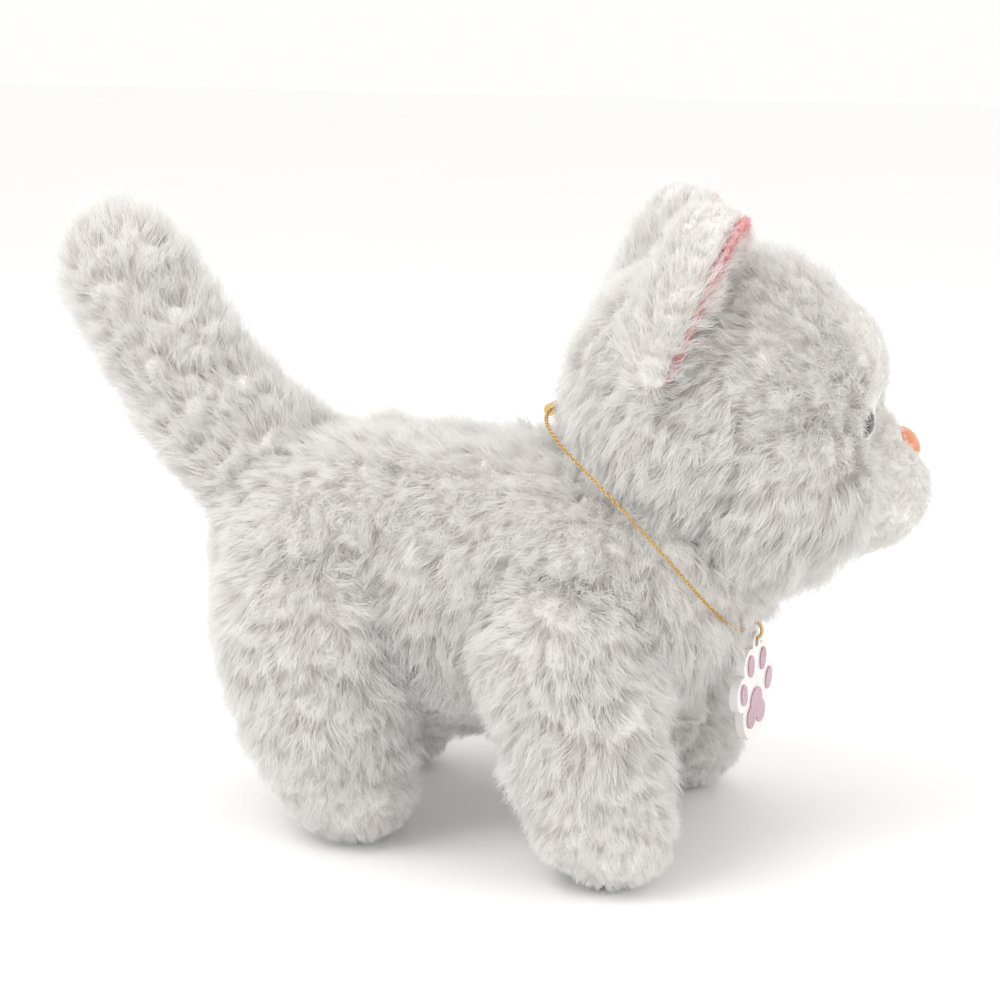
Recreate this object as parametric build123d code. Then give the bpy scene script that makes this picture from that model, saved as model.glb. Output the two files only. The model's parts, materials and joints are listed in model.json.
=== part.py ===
"""Walking plush kitten toy: furry body, four swinging legs, turning head, wagging tail and a paw tag.

Units are millimetres. +X points to the chest, +Y to the pet's left and +Z up. The floor is Z = 0,
and the origin lies on the floor under the middle of the whole pet. Every physical piece is a node.
"""
from math import asin, atan2, cos, degrees, hypot, pi, radians, sin
import os

from build123d import *

# ---------------------------------------------------------------- driving dimensions
GAP = 0.8                      # room kept between soft parts that move past each other
RUN = 0.05                     # radial clearance of pivots and shafts
WALL = 2.0                     # moulded wall thickness
CASE_GAP = 0.5                 # room between the housing and the plush around it

TORSO_X = (-73.0, 79.0)
TORSO_Y = 38.0                 # half width
TORSO_Z = (28.0, 114.0)
TORSO_ROUND = 35.0
WORKS_X = (-50.0, 54.0)        # room inside the torso for the links and levers
WORKS_Y = 35.0
WORKS_Z = (50.0, 92.0)

CASE_X = (-42.0, 52.0)         # gearbox and battery housing
CASE_Y = 24.0
CASE_Z = (40.0, 100.0)
CASE_ROUND = 4.0
CASE_SLOPE = ((26.0, 100.0), (52.0, 78.0))   # its sloping shoulder under the head
CASE_SCREWS = [(-37.6, 48.0), (47.5, 57.0), (-37.8, 95.7), (10.0, 95.4)]

FLANGE = 3.0                   # thickness of the brackets screwed to the housing
CELL_R, CELL_LENGTH, CELL_NUB = 5.25, 44.5, 1.0
CELL_Y = 5.9
TRAY_X = (-18.0, 36.0)
TRAY_Y = 14.0
TRAY_Z = (42.0, 56.0)
TRAY_WALL = 1.5
COVER_X = (-17.0, 35.0)
COVER_Y = 11.5
FLAP_X = (-20.0, 49.5)         # belly flap, hinged at its front edge
FLAP_Y = 11.3
FLAP_TOP = 36.0

CRANK = (2.5, 76.0)            # x, z of the crank axle, along Y
CRANK_THROW = 5.0
CRANK_R = 8.0
CRANK_Y = (24.6, 27.0)
CRANK_PIN_END = 28.1           # stops short of the link rod it drives
AXLE_R = 2.0
MODULE = 0.8
SMALL_TEETH, WHEEL_TEETH, OUTPUT_TEETH = 10, 32, 36
GEAR_PIN_R = 1.0
GEAR_PLATE_Y = (3.2, 4.8)
SECOND_LINE, FIRST_LINE, MOTOR_LINE = 10.0, -30.0, 180.0   # lines of centres, degrees from +X to +Z

PIVOT_Z = 62.0                 # leg pivots, along Y
STUD_R = 3.0
LEVER = 14.0                   # from a leg's pivot up to its link pin
LINK_PIN_R = 1.5
OPEN_PIVOT = 0.3               # clearance of the link rod's rear eye
ROD_Y = (28.5, 30.5)
FRAME_Y = (31.0, 34.0)         # plastic leg frames
FRAME_HUB_R = 6.5
SLAB_Y = 31.0                  # inner face of a leg's plush above the belly line
FOOT_R, FOOT_Z = 19.5, 17.5
LOW_FOOT_Z = 22.0              # a foot is no taller than this under the belly
SWING_ROOM = 5.6               # radial room round a leg's top for its swing
FRONT_TOP_R, HIND_TOP_R = 25.0, 28.5
# name: pivot x, side (-1 right, +1 left), top radius, top y, foot x, foot y
FRONT_X, HIND_X = 40.0, -35.0
LEGS = {
    "right_front": (FRONT_X, -1, FRONT_TOP_R, 34.0, 53.0, 43.0),
    "left_front": (FRONT_X, 1, FRONT_TOP_R, 34.0, 50.0, 43.0),
    "right_hind": (HIND_X, -1, HIND_TOP_R, 29.0, -25.0, 32.5),
    "left_hind": (HIND_X, 1, HIND_TOP_R, 29.0, -37.0, 32.5),
}

NECK_X = 60.0                  # turning axis of the head, along Z
NECK_POST_R = 5.0
NECK_SHELF_Z = (66.0, 70.0)
NECK_TOP = 106.0
NECK_SCREWS = [(-6.5, 74.0), (6.5, 74.0)]   # y, z
BRACKET_SCREW = 4.6
HEAD_Z = 124.0
HEAD_YAW = 22.0                # the head is stored turned this far to its left
HEAD_TURN = 25.0               # and turns this far to each side of straight ahead
HEAD_R = 45.5
HEAD_FORWARD = 13.5            # head centre ahead of the turning axis
SKULL_R = 32.0
SKULL_SCREW_Y = 18.0
EYE_R, EYE_DOME, EYE_STEM = 5.5, 3.6, 5.5
NOSE_R, NOSE_DOME, NOSE_STEM = 4.4, 3.4, 7.0
STEM_R = 1.5
EYE_AT = (34.0, 17.5, -2.0)    # seat of the left eye, from the head's centre
EYE_OUT = (0.94, 0.33, 0.03)   # the way it looks
SOCKET_R, SOCKET_OUT = 10.0, 8.2   # hollow in the plush round an eye
NOSE_AT = (51.0, 0.0, -9.2)
MUZZLE_R = 18.0
MUZZLE_AT = (36.5, 0.0, -21.0)
WASHER_R = 4.5
EAR_AT = (-7.0, 27.0, 32.5)    # left ear's root
EAR_UP = (0.34, 0.30, 0.89)
EAR_ACROSS = (0.22, -0.93, 0.23)
EAR_BACK, EAR_LINING = 11.0, 2.0

TAIL_AXIS = (-58.0, 95.0)      # x, z of the tail's root; it wags about Z there
TAIL_PATH = [(-58.0, 95.0, 19.5), (-81.0, 118.0, 19.0), (-106.0, 154.0, 18.5)]
TAIL_WAG = 20.0
TAIL_SHELF_Z = (83.0, 87.0)
TAIL_PIN_R = 2.5
TAIL_SCREW_Z = (72.0, 91.0)
TAIL_PIN_TOP = 98.6            # underside of the pin's head
TAIL_HUB_R = 6.0

CHAIN_BACK = (24.6, 120.4)     # x, z of the necklace at the nape
CHAIN_FRONT = (82.8, 63.2)     # and at the chest
CHAIN_R = 0.7
RING_R, RING_WIRE, RING_SLACK = 2.6, 0.5, 0.05
TAG_THICK = 2.4
TAG_YAW = -7.0
TAG_HOLE = 13.2                # height of the tag's hole above its middle
TOES = [(-9.6, 0.4), (-4.6, 7.3), (4.6, 7.3), (9.6, 0.4)]

SCREW_R, SCREW_HEAD_R, SCREW_HEAD = 1.0, 1.9, 1.4
SWITCH_X = 44.0
BUTTON_X, BUTTON_R, BUTTON_TRAVEL = -26.0, 7.0, 1.2
BUTTON_FLOOR = 87.0            # top of the carrier that the rubber dome stands on
SPEAKER_Z = 72.0

nodes = {}


# ---------------------------------------------------------------- shape helpers
def block(x, y, z):
    """Box between two limits on each axis."""
    middle = [(limits[0] + limits[1]) / 2 for limits in (x, y, z)]
    return Pos(*middle) * Box(*(abs(limits[1] - limits[0]) for limits in (x, y, z)))


def rod_x(y, z, r, x0, x1):
    return Pos((x0 + x1) / 2, y, z) * Rot(0, 90, 0) * Cylinder(r, abs(x1 - x0))


def rod_y(x, z, r, y0, y1):
    return Pos(x, (y0 + y1) / 2, z) * Rot(90, 0, 0) * Cylinder(r, abs(y1 - y0))


def rod_z(x, y, r, z0, z1):
    return Pos(x, y, (z0 + z1) / 2) * Cylinder(r, abs(z1 - z0))


def ball(x, y, z, r):
    return Pos(x, y, z) * Sphere(r)


def span(side, y):
    """Limits in Y of a layer on one side of the pet."""
    return tuple(sorted((side * y[0], side * y[1])))


def aimed(origin, along):
    """Location at origin whose local X axis points along a direction."""
    d = Vector(*along).normalized()
    other = Vector(0, 0, 1) if abs(d.Z) < 0.9 else Vector(0, 1, 0)
    return Plane(origin=origin, x_dir=d, z_dir=d.cross(other)).location


def limb(p, p_r, q, q_r):
    """Two balls joined by the cone that is tangent to both."""
    p, q = Vector(*p), Vector(*q)
    length = (q - p).length
    slope = asin((p_r - q_r) / length)
    tangent = pi / 2 - slope
    p_mid = (tangent + pi) / 2
    start, finish = (-p_r, 0), (length + q_r, 0)
    on_p = (p_r * cos(tangent), p_r * sin(tangent))
    on_q = (length + q_r * cos(tangent), q_r * sin(tangent))
    outline = Wire([
        ThreePointArc(start, (p_r * cos(p_mid), p_r * sin(p_mid)), on_p),
        Line(on_p, on_q),
        ThreePointArc(on_q, (length + q_r * cos(tangent / 2), q_r * sin(tangent / 2)), finish),
        Line(finish, start),
    ])
    return aimed(p, q - p) * revolve(Face(outline), Axis.X)


def bar(p, q, width, y):
    """Flat bar with round ends between two points of the XZ plane."""
    length = hypot(q[0] - p[0], q[1] - p[1])
    turn = degrees(atan2(q[1] - p[1], q[0] - p[0]))
    web = Pos((p[0] + q[0]) / 2, (y[0] + y[1]) / 2, (p[1] + q[1]) / 2) * Rot(0, -turn, 0)
    return web * Box(length, y[1] - y[0], width) + rod_y(*p, width / 2, *y) + rod_y(*q, width / 2, *y)


def about_z(shape, x, angle):
    return Pos(x, 0, 0) * Rot(0, 0, angle) * Pos(-x, 0, 0) * shape


def together(pieces):
    """Several separate solids kept as one node."""
    solids = []
    for piece in pieces:
        solids += piece.solids()
    return Compound(children=solids)


def screw(length):
    """Pan-head screw along +X, the underside of its head at the origin."""
    shank = rod_x(0, 0, SCREW_R, 0, length)
    return shank + rod_x(0, 0, SCREW_HEAD_R, -SCREW_HEAD, 0) - block((-2, -0.9), (-1.2, 1.2), (-0.25, 0.25))


def beside(point, distance, angle):
    """Point of the XZ plane at a distance and an angle from another."""
    return point[0] + distance * cos(radians(angle)), point[1] + distance * sin(radians(angle))


# ---------------------------------------------------------------- housing
def housing():
    inset = (WALL, -WALL)
    shell = fillet(block(CASE_X, (-CASE_Y, CASE_Y), CASE_Z).edges(), CASE_ROUND)
    room = block([x + d for x, d in zip(CASE_X, inset)], (-CASE_Y + WALL, CASE_Y - WALL),
                 [z + d for z, d in zip(CASE_Z, inset)])
    room = fillet(room.edges(), CASE_ROUND - WALL)
    shell = shell - shoulder(0.0)
    shell -= room - shoulder(WALL)
    for x in (FRONT_X, HIND_X):
        for side in (-1, 1):
            shell += rod_y(x, PIVOT_Z, STUD_R, side * (CASE_Y - 0.5), side * FRAME_Y[1])
            shell += rod_y(x, PIVOT_Z, STUD_R + 1.5, side * (CASE_Y - 0.5), side * (CASE_Y + 1))
            shell -= rod_y(x, PIVOT_Z, SCREW_R, side * (CASE_Y + 2), side * (FRAME_Y[1] + 1))
    for x, z in CASE_SCREWS:
        shell += rod_y(x, z, 3.0, -CASE_Y + 0.5, CASE_Y - 0.5)
        shell -= rod_y(x, z, SCREW_R, -CASE_Y - 1, 8)
        shell -= rod_y(x, z, SCREW_HEAD_R + 0.1, -CASE_Y - 1, -CASE_Y + WALL)
    shell -= rod_y(*CRANK, AXLE_R + RUN, -CASE_Y - 1, CASE_Y + 1)
    shell -= block(COVER_X, (-COVER_Y, COVER_Y), (CASE_Z[0] - 1, CASE_Z[0] + WALL + 1))
    shell -= block((SWITCH_X - 2.3, SWITCH_X + 2.3), (-3.7, 3.7), (CASE_Z[0] - 1, CASE_Z[0] + WALL + 1))
    shell -= rod_z(BUTTON_X, 0, BUTTON_R + 0.3, CASE_Z[1] - WALL - 1, CASE_Z[1] + 1)
    for y, z in NECK_SCREWS:
        shell -= rod_x(y, z, SCREW_R, CASE_X[1] - WALL - 1, CASE_X[1] + 1)
    for z in TAIL_SCREW_Z:
        shell -= rod_x(0, z, SCREW_R, CASE_X[0] - 1, CASE_X[0] + WALL + 1)
    nodes["housing_right"] = shell - block((-99, 99), (0, 50), (0, 150))
    nodes["housing_left"] = shell - block((-99, 99), (-50, 0), (0, 150))


def shoulder(depth):
    """Everything above the sloping plane under the head, lowered by a wall's depth."""
    (x0, z0), (x1, z1) = CASE_SLOPE
    fall = degrees(atan2(z0 - z1, x1 - x0))
    above = Pos((x0 + x1) / 2, 0, (z0 + z1) / 2) * Rot(0, fall, 0) * Pos(0, 0, 25 - depth)
    return above * Box(120, 80, 50)


def fasteners():
    case = [aimed((x, -CASE_Y + WALL, z), (0, 1, 0)) * screw(29.0) for x, z in CASE_SCREWS]
    case += [aimed((CASE_X[1] + FLANGE, y, z), (-1, 0, 0)) * screw(BRACKET_SCREW) for y, z in NECK_SCREWS]
    case += [aimed((CASE_X[0] - FLANGE, 0, z), (1, 0, 0)) * screw(BRACKET_SCREW) for z in TAIL_SCREW_Z]
    nodes["case_screws"] = together(case)
    pivots = []
    for x, side, *_ in LEGS.values():
        face = side * (FRAME_Y[1] + 0.1)
        washer = rod_y(x, PIVOT_Z, 5.0, face, face + side * 0.8)
        pivots.append(washer + aimed((x, face + side * 0.8, PIVOT_Z), (0, -side, 0)) * screw(7.0))
    washer = rod_z(NECK_X, 0, 8.0, NECK_TOP, NECK_TOP + 0.8)
    pivots.append(washer + aimed((NECK_X, 0, NECK_TOP + 0.8), (0, 0, -1)) * screw(8.0))
    nodes["pivot_screws"] = together(pivots)


# ---------------------------------------------------------------- batteries, switch, board, sounds
def battery_box():
    low, high = TRAY_X
    tray = block(TRAY_X, (-TRAY_Y, TRAY_Y), TRAY_Z)
    tray -= block((low + TRAY_WALL, high - TRAY_WALL), (-TRAY_Y + TRAY_WALL, TRAY_Y - TRAY_WALL),
                  (TRAY_Z[0] - 1, TRAY_Z[1] - TRAY_WALL))
    nodes["battery_tray"] = tray
    cover = block((COVER_X[0] + 0.2, COVER_X[1] - 0.2), (-COVER_Y + 0.2, COVER_Y - 0.2),
                  (CASE_Z[0], CASE_Z[0] + WALL))
    for groove in range(6):
        x = COVER_X[1] - 6 - 2.4 * groove
        cover -= block((x - 0.6, x + 0.6), (-7, 7), (CASE_Z[0] - 1, CASE_Z[0] + 0.6))
    nodes["battery_cover"] = cover
    middle = (COVER_X[0] + COVER_X[1]) / 2
    z = CASE_Z[0] + WALL + 0.3 + CELL_R
    cells, contacts = [], []
    for side in (-1, 1):
        ends = (middle - side * CELL_LENGTH / 2, middle + side * CELL_LENGTH / 2)
        can = rod_x(side * CELL_Y, z, CELL_R, ends[0], ends[1] - side * CELL_NUB)
        cells.append(can + rod_x(side * CELL_Y, z, 1.9, ends[1] - side * CELL_NUB, ends[1]))
        for end, wall in zip(sorted(ends), (low + TRAY_WALL, high - TRAY_WALL)):
            inward = 1 if end > wall else -1
            leaf = block(sorted((wall, wall + inward * 0.5)), span(side, (1.4, 10.4)), (43.5, 52.5))
            contacts.append(leaf + rod_x(side * CELL_Y, z, 1.7, wall, end))
    nodes["battery_cells"] = together(cells)
    nodes["battery_contacts"] = together(contacts)


def switch():
    body = block((SWITCH_X - 4, SWITCH_X + 4), (-6, 6), (CASE_Z[0] + WALL, CASE_Z[0] + WALL + 5))
    body -= block((SWITCH_X - 2.2, SWITCH_X + 2.2), (-4.5, 4.5), (CASE_Z[0], CASE_Z[0] + WALL + 3.4))
    for x in (-2.5, 0.0, 2.5):
        body += rod_z(SWITCH_X, x, 0.4, CASE_Z[0] + WALL + 5, CASE_Z[0] + WALL + 8)
    nodes["switch_body"] = body
    slider = block((SWITCH_X - 1.8, SWITCH_X + 1.8), (-3.0, 0.0), (CASE_Z[0] - 1.2, CASE_Z[0] + WALL + 3.0))
    for ridge in (-2.4, -1.5, -0.6):
        slider -= block((SWITCH_X - 3, SWITCH_X + 3), (ridge - 0.15, ridge + 0.15),
                        (CASE_Z[0] - 2, CASE_Z[0] - 0.8))
    nodes["switch_slider"] = slider


def touch_sensor():
    top = CASE_Z[1]
    button = rod_z(BUTTON_X, 0, BUTTON_R, top - WALL - 1.4, top + 2.4)
    button = fillet(button.edges().sort_by(Axis.Z)[-1], 1.2)
    button += rod_z(BUTTON_X, 0, BUTTON_R + 1.5, top - WALL - 2.4, top - WALL - 1.4 + 1.2)
    nodes["touch_button"] = button
    carrier = block((BUTTON_X - 7, BUTTON_X + 7), (-17, 17), (BUTTON_FLOOR - 1.6, BUTTON_FLOOR))
    for side in (-1, 1):
        carrier += block((BUTTON_X - 5, BUTTON_X + 5), span(side, (15.5, 17)), (BUTTON_FLOOR - 1.6, top - WALL))
    nodes["button_carrier"] = carrier
    dome_top = top - WALL - 2.4 - BUTTON_TRAVEL - 0.3
    dome = Pos(BUTTON_X, 0, (BUTTON_FLOOR + dome_top) / 2) * Cone(5.0, 2.4, dome_top - BUTTON_FLOOR)
    nodes["button_dome"] = dome - rod_z(BUTTON_X, 0, 1.5, BUTTON_FLOOR - 1, BUTTON_FLOOR + 4)


def electronics():
    board = block((-24, 0), (-21.6, -20.0), (58, 84))
    for x, z, w, h, tall in ((-17, 76, 7, 7, 1.4), (-9, 64, 5, 8, 1.1), (-19, 63, 4, 4, 2.4)):
        board += block((x - w / 2, x + w / 2), (-20.0, -20.0 + tall), (z - h / 2, z + h / 2))
    nodes["circuit_board"] = board
    speaker = rod_x(0, SPEAKER_Z, 14.0, -40.0, -38.0) + rod_x(0, SPEAKER_Z, 7.0, -38.0, -33.5)
    speaker += Pos(-36.75, 0, SPEAKER_Z) * Rot(0, 90, 0) * Cone(12.0, 7.0, 2.5)
    nodes["speaker"] = speaker
    wires = []
    for z in (SPEAKER_Z - 2.5, SPEAKER_Z):
        wires.append([(-33.5, -4, z), (-12, -4, z), (-12, -20.0, z)])
    motor_x = MOTOR_AT[0]
    for x, z in ((motor_x - 5, MOTOR_AT[1] - 1.5), (motor_x + 5, MOTOR_AT[1] - 5.0)):
        wires.append([(x, MOTOR_Y[0], z), (x, -18.2, z), (-3.5, -18.2, z), (-3.5, -20.0, z)])
    tubes = []
    for points in wires:
        radii = [3.0] if len(points) == 3 else [1.5, 0.85]
        path = FilletPolyline(*points, radius=radii)
        start = Plane(origin=path @ 0, z_dir=path % 0)
        tubes.append(sweep(start * Circle(0.6), path=path))
    nodes["wiring"] = together(tubes)


# ---------------------------------------------------------------- motor and gear train
def centres(a, b):
    return MODULE * (a + b) / 2


SECOND_AT = beside(CRANK, centres(OUTPUT_TEETH, SMALL_TEETH), SECOND_LINE)
FIRST_AT = beside(SECOND_AT, centres(WHEEL_TEETH, SMALL_TEETH), FIRST_LINE)
MOTOR_AT = beside(FIRST_AT, centres(WHEEL_TEETH, SMALL_TEETH), MOTOR_LINE)
MOTOR_Y = (-15.0, 3.2)


def gear(at, teeth, phase, y, bore):
    """Spur gear on an axis along Y; phase is the direction of one tooth, in degrees from +X to +Z."""
    pitch_r = MODULE * teeth / 2
    flank = ((pitch_r - 1.2 * MODULE, 0.31), (pitch_r, 0.22), (pitch_r + 0.8 * MODULE, 0.10))
    sides = [(r, -share) for r, share in flank] + [(r, share) for r, share in reversed(flank)]
    corners = []
    for tooth in range(teeth):
        for r, share in sides:
            angle = radians(phase) + (tooth + share) * 2 * pi / teeth
            corners.append((r * cos(angle), r * sin(angle)))
    face = make_face(Polyline(*corners, close=True)) - Circle(bore)
    side_plane = Plane(origin=(at[0], y[1], at[1]), x_dir=(1, 0, 0), z_dir=(0, -1, 0))
    return side_plane.location * extrude(face, y[1] - y[0])


def facing(line, teeth):
    """Phase that puts a gap of the driving gear in front of the other gear's tooth."""
    return line + 180 + 180 / teeth


def gear_train():
    nodes["output_gear"] = gear(CRANK, OUTPUT_TEETH, SECOND_LINE, (13.2, 17.0), AXLE_R)
    nodes["output_gear"] += rod_y(*CRANK, 4.0, 17.0, 19.0) - rod_y(*CRANK, AXLE_R, 17.0, 19.0)
    second = gear(SECOND_AT, WHEEL_TEETH, FIRST_LINE, (9.0, 12.0), GEAR_PIN_R + RUN)
    second += gear(SECOND_AT, SMALL_TEETH, facing(SECOND_LINE, SMALL_TEETH), (12.0, 17.6), GEAR_PIN_R + RUN)
    nodes["second_gear"] = second
    first = gear(FIRST_AT, WHEEL_TEETH, MOTOR_LINE, (5.4, 8.0), GEAR_PIN_R + RUN)
    first += gear(FIRST_AT, SMALL_TEETH, facing(FIRST_LINE, SMALL_TEETH), (8.0, 12.6), GEAR_PIN_R + RUN)
    nodes["first_gear"] = first
    pinion = gear(MOTOR_AT, SMALL_TEETH, facing(MOTOR_LINE, SMALL_TEETH), (5.2, 8.3), 1.0)
    nodes["motor_pinion"] = together([pinion, rod_y(*MOTOR_AT, 1.0, MOTOR_Y[1] - 5, 8.3)])
    can = block((MOTOR_AT[0] - 10, MOTOR_AT[0] + 10), MOTOR_Y, (MOTOR_AT[1] - 7.5, MOTOR_AT[1] + 7.5))
    can = fillet(can.edges().filter_by(Axis.Y), 6.0)
    nodes["motor"] = can - rod_y(*MOTOR_AT, 1.0 + RUN, MOTOR_Y[1] - 5.3, MOTOR_Y[1] + 1)
    plate = block((-5, 40), GEAR_PLATE_Y, (57.5, 84))
    for post in ((-2.5, 59.5), (20.0, 59.7)):
        plate += rod_y(*post, 1.8, GEAR_PLATE_Y[0], CASE_Y - WALL)
    for at in (SECOND_AT, FIRST_AT):
        plate += rod_y(*at, GEAR_PIN_R, GEAR_PLATE_Y[0], CASE_Y - WALL)
    for at, r in ((CRANK, AXLE_R + RUN), (MOTOR_AT, 1.6)):
        plate -= rod_y(*at, r, 0, 6)
    nodes["gear_plate"] = plate
    nodes["crank_axle"] = rod_y(*CRANK, AXLE_R, -CRANK_Y[1], CRANK_Y[1])
    cranks = []
    for side in (-1, 1):
        disc = rod_y(*CRANK, CRANK_R, *span(side, CRANK_Y)) - rod_y(*CRANK, AXLE_R, *span(side, CRANK_Y))
        pin = beside(CRANK, CRANK_THROW, -90 * side)
        cranks.append(disc + rod_y(*pin, LINK_PIN_R, *span(side, (CRANK_Y[1], CRANK_PIN_END))))
    nodes["cranks"] = together(cranks)


# ---------------------------------------------------------------- legs and link rods
def leg_limb(leg, extra=0.0):
    pivot_x, side, top_r, top_y, foot_x, foot_y = LEGS[leg]
    top, foot = (pivot_x, side * top_y, PIVOT_Z), (foot_x, side * foot_y, FOOT_Z)
    return limb(top, top_r + extra, foot, FOOT_R + extra)


def legs():
    for leg, (pivot_x, side, top_r, top_y, foot_x, foot_y) in LEGS.items():
        pivot = (pivot_x, PIVOT_Z)
        layer = span(side, FRAME_Y)
        pin = (pivot_x, PIVOT_Z + LEVER)
        frame = bar(pivot, pin, 7.0, layer) + bar(pivot, (foot_x, 11.0), 8.0, layer)
        frame += rod_y(*pivot, FRAME_HUB_R, *layer)
        frame += block((foot_x - 9, foot_x + 10), span(side, (FRAME_Y[0], foot_y + 6)), (6.0, 8.5))
        frame += rod_y(*pin, LINK_PIN_R, *span(side, (ROD_Y[0] - 0.2, FRAME_Y[0])))
        frame -= rod_y(*pivot, STUD_R + RUN, *span(side, (FRAME_Y[0] - 1, FRAME_Y[1] + 1)))
        nodes[leg + "_leg_frame"] = frame
        plush = leg_limb(leg) - block((-150, 150), (-90, 90), (-30, 0))
        plush -= block((-150, 150), span(side, (0, SLAB_Y)), (LOW_FOOT_Z, 120))
        plush -= bar(pivot, pin, 7.4, layer) + bar(pivot, (foot_x, 11.0), 8.0, layer)
        plush -= frame + rod_y(*pivot, FRAME_HUB_R, *span(side, (FRAME_Y[0], FRAME_Y[1] + 4)))
        nodes[leg + "_leg_plush"] = plush
    for side, name in ((-1, "right"), (1, "left")):
        layer = span(side, ROD_Y)
        front, hind = (FRONT_X, PIVOT_Z + LEVER), (HIND_X, PIVOT_Z + LEVER)
        rod = bar(hind, front, 6.0, layer)
        rod += block((CRANK[0] - 6, CRANK[0] + 6), layer, (CRANK[1] - 10, CRANK[1] + 10))
        rod -= block((CRANK[0] - 1.8, CRANK[0] + 1.8), layer, (CRANK[1] - 7.5, CRANK[1] + 7.5))
        rod -= rod_y(*front, LINK_PIN_R + RUN, *layer) + rod_y(*hind, LINK_PIN_R + OPEN_PIVOT, *layer)
        nodes[name + "_link_rod"] = rod


# ---------------------------------------------------------------- torso plush and belly flap
def torso():
    body = fillet(block(TORSO_X, (-TORSO_Y, TORSO_Y), TORSO_Z).edges(), TORSO_ROUND)
    flap = block((FLAP_X[0] + 0.7, FLAP_X[1]), (-FLAP_Y, FLAP_Y), (0, FLAP_TOP))
    flap -= block((-100, 100), (-60, 60), (0, 60)) - body
    body -= block(WORKS_X, (-WORKS_Y, WORKS_Y), WORKS_Z)
    body -= block((CASE_X[0] - CASE_GAP, CASE_X[1] + CASE_GAP), (-CASE_Y - CASE_GAP, CASE_Y + CASE_GAP),
                  (CASE_Z[0] - CASE_GAP, CASE_Z[1] + CASE_GAP))
    body -= block((FLAP_X[0], FLAP_X[1] + 0.5), (-FLAP_Y - 0.7, FLAP_Y + 0.7), (0, CASE_Z[0]))
    body -= rod_z(BUTTON_X, 0, BUTTON_R + 2, CASE_Z[1], CASE_Z[1] + 4)
    body -= block((CASE_X[1], NECK_X + 9), (-14, 14), (56, 100))
    body -= rod_z(NECK_X, 0, 13.0, 56, 100)
    for turn in (-HEAD_TURN, 0, HEAD_TURN):
        body -= about_z(ball(NECK_X + HEAD_FORWARD, 0, HEAD_Z, HEAD_R + GAP), NECK_X, turn)
    body -= block((-68, CASE_X[0]), (-11, 11), (68, 101))
    for turn in (-TAIL_WAG, 0, TAIL_WAG):
        body -= about_z(tail_limb(0, GAP), TAIL_AXIS[0], turn)
    for side in (-1, 1):
        outside = span(side, (SLAB_Y - GAP, TORSO_Y + 5))
        for pivot_x, top_r in ((FRONT_X, FRONT_TOP_R), (HIND_X, HIND_TOP_R)):
            body -= rod_y(pivot_x, PIVOT_Z, top_r + SWING_ROOM, *outside)
        body -= block((-150, 150), outside, (0, WORKS_Z[0]))
    nodes["torso_plush"] = body
    nodes["belly_flap"] = flap
    nodes["hook_tape"] = block((FLAP_X[0] + 1.5, FLAP_X[0] + 7.5), (-9, 9), (FLAP_TOP, FLAP_TOP + 0.8))


# ---------------------------------------------------------------- neck and head
HEAD_FRAME = Pos(NECK_X, 0, HEAD_Z) * Rot(0, 0, HEAD_YAW) * Pos(HEAD_FORWARD, 0, 0)


def neck():
    flange = block((CASE_X[1], CASE_X[1] + FLANGE), (-9, 9), (60, 77.5))
    shelf = block((CASE_X[1], NECK_X + 7), (-7, 7), NECK_SHELF_Z)
    bracket = flange + shelf + rod_z(NECK_X, 0, 7.5, *NECK_SHELF_Z)
    bracket += rod_z(NECK_X, 0, NECK_POST_R, NECK_SHELF_Z[0], NECK_TOP)
    for y, z in NECK_SCREWS:
        bracket -= rod_x(y, z, SCREW_R, CASE_X[1] - 1, CASE_X[1] + 4)
    bracket -= rod_z(NECK_X, 0, SCREW_R, NECK_TOP - 9, NECK_TOP + 1)
    nodes["neck_bracket"] = bracket


def stud(at, along, dome, radius, stem):
    """Domed face part with a stem; returned with its washer and the room that both need."""
    place = aimed(at, along)
    cap_r = (radius ** 2 + dome ** 2) / (2 * dome)
    middle = asin(radius / cap_r) / 2
    on_cap = (dome - cap_r + cap_r * cos(middle), cap_r * sin(middle))
    outline = Wire([
        Line((dome, 0), (-stem, 0)),
        Line((-stem, 0), (-stem, STEM_R)),
        Line((-stem, STEM_R), (0, STEM_R)),
        Line((0, STEM_R), (0, radius)),
        ThreePointArc((0, radius), on_cap, (dome, 0)),
    ])
    part = revolve(Face(outline), Axis.X)
    pocket = rod_x(0, 0, WASHER_R, 1 - stem, 2.4 - stem)
    washer = pocket - rod_x(0, 0, STEM_R, -stem, 0)
    room = rod_x(0, 0, STEM_R, -stem, 0) + pocket
    return place * part, place * washer, place * room


def ear(side):
    """Furry back and lining of one ear, standing on the head."""
    flip = (1, side, 1)
    origin = [a * f for a, f in zip(EAR_AT, flip)]
    up = Vector(*(a * f for a, f in zip(EAR_UP, flip))).normalized()
    across = Vector(*(a * f for a, f in zip(EAR_ACROSS, flip)))
    across = (across - up * across.dot(up)).normalized()
    front = across.cross(up) if across.cross(up).X > 0 else up.cross(across)
    plane = Plane(origin=origin, x_dir=across, z_dir=front)
    edge = 1 if plane.y_dir.dot(up) > 0 else -1

    def outline(grow):
        points = [(-22, -21), (-20, 4), (-11, 21), (0, 27), (11, 21), (19, 6), (20, -21)]
        points = [(x * grow, edge * (y * grow if y > 0 else y)) for x, y in points]
        return make_face([Spline(*points), Line(points[-1], points[0])])

    back = plane.location * extrude(outline(1.0), -EAR_BACK)
    lining = plane.location * extrude(outline(0.9), EAR_LINING)
    head = Sphere(HEAD_R)
    return back - head, lining - head


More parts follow.
